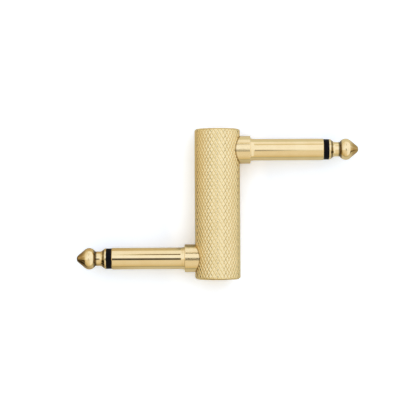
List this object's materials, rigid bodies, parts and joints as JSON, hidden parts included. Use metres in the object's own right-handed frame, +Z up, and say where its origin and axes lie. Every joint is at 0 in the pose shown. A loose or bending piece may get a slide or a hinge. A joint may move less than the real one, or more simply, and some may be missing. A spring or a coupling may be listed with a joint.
{
  "type": "offset plug coupler",
  "caption": "Z-shaped rigid coupler: gold jack plugs stand out of opposite sides of a diamond-knurled metal barrel, offset along it, to join the sockets of neighbouring devices.",
  "frame": {"origin": "middle of the barrel, on its axis", "axes": "+X along the right plug, towards its tip; +Y along the barrel, towards the right plug's end; +Z up, square to both plugs"},
  "size_m": [0.0828, 0.044, 0.0132],
  "materials": {
    "barrel": "diamond knurled, satin gold plating",
    "end_cap": "turned, satin gold plating",
    "collar": "turned, satin gold plating",
    "sleeve": "polished gold plating",
    "tip": "polished gold plating",
    "tip_ring": "moulded, black",
    "rod": "drawn brass",
    "inner_tube": "extruded, natural",
    "washer": "moulded, black",
    "lug": "tinned sheet",
    "solder": "tin solder",
    "wire": "tinned copper",
    "wire_jacket": "extruded PVC, red"
  },
  "bodies": {
    "root": {"barrel": "barrel", "rear_end_cap": "end_cap", "front_end_cap": "end_cap", "link_wire": "wire", "wire_insulation": "wire_jacket", "right_collar": "collar", "right_plug_sleeve": "sleeve", "right_tip_insulator": "tip_ring", "right_plug_tip": "tip", "right_centre_rod": "rod", "right_insulating_tube": "inner_tube", "right_rear_insulator": "washer", "right_solder_lug": "lug", "right_solder_joint": "solder", "left_collar": "collar", "left_plug_sleeve": "sleeve", "left_tip_insulator": "tip_ring", "left_plug_tip": "tip", "left_centre_rod": "rod", "left_insulating_tube": "inner_tube", "left_rear_insulator": "washer", "left_solder_lug": "lug", "left_solder_joint": "solder"}
  },
  "joints": []
}
